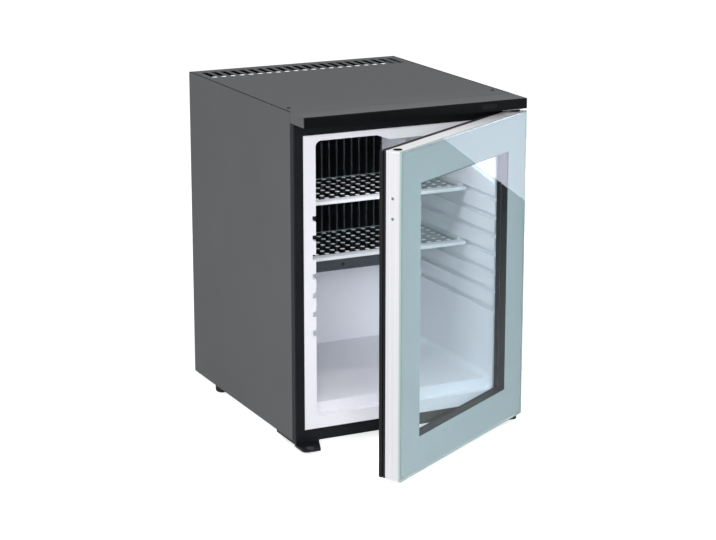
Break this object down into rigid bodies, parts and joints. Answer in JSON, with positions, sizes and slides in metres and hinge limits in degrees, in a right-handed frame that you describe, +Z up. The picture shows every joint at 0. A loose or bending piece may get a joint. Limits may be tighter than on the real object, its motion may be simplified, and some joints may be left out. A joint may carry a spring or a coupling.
{
  "type": "glass-door minibar refrigerator",
  "caption": "Small free-standing minibar fridge: dark steel cabinet with vented top, white liner with sliding glass shelves, framed glass door on a side hinge, absorption cooler behind.",
  "frame": {"origin": "on the floor under the middle of the steel carcass, halfway across its width and its depth", "axes": "+Z up, the door faces -Y, +X to the right of someone facing the door, where the hinge is"},
  "size_m": [0.4082, 0.6882, 0.5636],
  "materials": {
    "cabinet_paint": "satin",
    "galvanised_steel": "satin",
    "hinge_steel": "polished",
    "black_screw": "satin",
    "bright_screw": "satin",
    "liner_plastic": "satin",
    "foam": "matte",
    "frame_plastic": "satin",
    "header_plastic": "satin",
    "header_gloss": "gloss",
    "display_plastic": "polished",
    "tray_plastic": "matte",
    "board_laminate": "satin",
    "lamp_plastic": "satin",
    "diffuser_plastic": "satin",
    "runner_plastic": "satin",
    "shelf_glass": "polished",
    "trim_plastic": "satin",
    "fin_aluminium": "matte",
    "trough_plastic": "satin",
    "drain_plastic": "satin",
    "bracket_paint": "satin",
    "cap_plastic": "satin",
    "foot_plastic": "matte",
    "door_aluminium": "satin",
    "door_cap_plastic": "satin",
    "bush_plastic": "satin",
    "door_glass": "polished",
    "spacer_bar": "matte",
    "gasket_rubber": "matte",
    "jacket_steel": "satin",
    "unit_paint": "satin",
    "control_plastic": "satin",
    "gland_plastic": "satin"
  },
  "bodies": {
    "cabinet": {"absorber_coil": "unit_paint", "absorber_tank": "unit_paint", "base_panel": "galvanised_steel", "boiler_jacket": "jacket_steel", "bottom_frame_rail": "frame_plastic", "cabinet_screws": "black_screw", "condenser_fins": "unit_paint", "condenser_tube": "unit_paint", "control_board": "board_laminate", "control_box": "control_plastic", "display_lens": "display_plastic", "drain_tube": "drain_plastic", "drip_trough": "trough_plastic", "drip_trough_screw": "black_screw", "evaporation_basin": "drain_plastic", "evaporator_feed_tube": "unit_paint", "evaporator_fins": "fin_aluminium", "front_feet": "foot_plastic", "header_fascia": "header_gloss", "header_shell": "header_plastic", "header_tray": "tray_plastic", "heat_exchanger_tube": "unit_paint", "insulation_foam": "foam", "lamp_housing": "lamp_plastic", "lamp_lens": "diffuser_plastic", "left_frame_stile": "frame_plastic", "left_hinge_bracket": "bracket_paint", "left_side_panel": "cabinet_paint", "liner": "liner_plastic", "lower_hinge_pin": "hinge_steel", "mains_gland": "gland_plastic", "rear_bulkhead": "galvanised_steel", "rear_feet": "foot_plastic", "right_frame_stile": "frame_plastic", "right_hinge_bracket": "bracket_paint", "right_side_panel": "cabinet_paint", "spare_pivot_cap": "cap_plastic", "top_frame_rail": "frame_plastic", "top_panel": "cabinet_paint", "unit_saddles": "unit_paint", "upper_hinge_pin": "hinge_steel", "upper_hinge_plate": "galvanised_steel"},
    "door": {"door_free_stile": "door_aluminium", "door_hinge_stile": "door_aluminium", "door_top_rail": "door_aluminium", "door_bottom_rail": "door_aluminium", "door_corner_caps": "door_cap_plastic", "hinge_bushes": "bush_plastic", "spare_hinge_plugs": "bush_plastic", "door_edge_screws": "bright_screw", "door_front_glass": "door_glass", "glass_spacer": "spacer_bar", "door_inner_glass": "door_glass", "door_gasket": "gasket_rubber"},
    "upper_shelf": {"upper_shelf_runners": "runner_plastic", "upper_shelf_glass": "shelf_glass", "upper_shelf_trim": "trim_plastic"},
    "lower_shelf": {"lower_shelf_runners": "runner_plastic", "lower_shelf_glass": "shelf_glass", "lower_shelf_trim": "trim_plastic"}
  },
  "joints": [
    {"name": "door_hinge", "type": "hinge", "parent": "cabinet", "child": "door", "pos_m": [0.187, -0.2542, 0], "axis": [0, 0, 1], "range_deg": [-32, 78]},
    {"name": "upper_shelf_slide", "type": "slide", "parent": "cabinet", "child": "upper_shelf", "axis": [0, -1, 0], "range_m": [0, 0.08]},
    {"name": "lower_shelf_slide", "type": "slide", "parent": "cabinet", "child": "lower_shelf", "axis": [0, -1, 0], "range_m": [0, 0.08]}
  ]
}
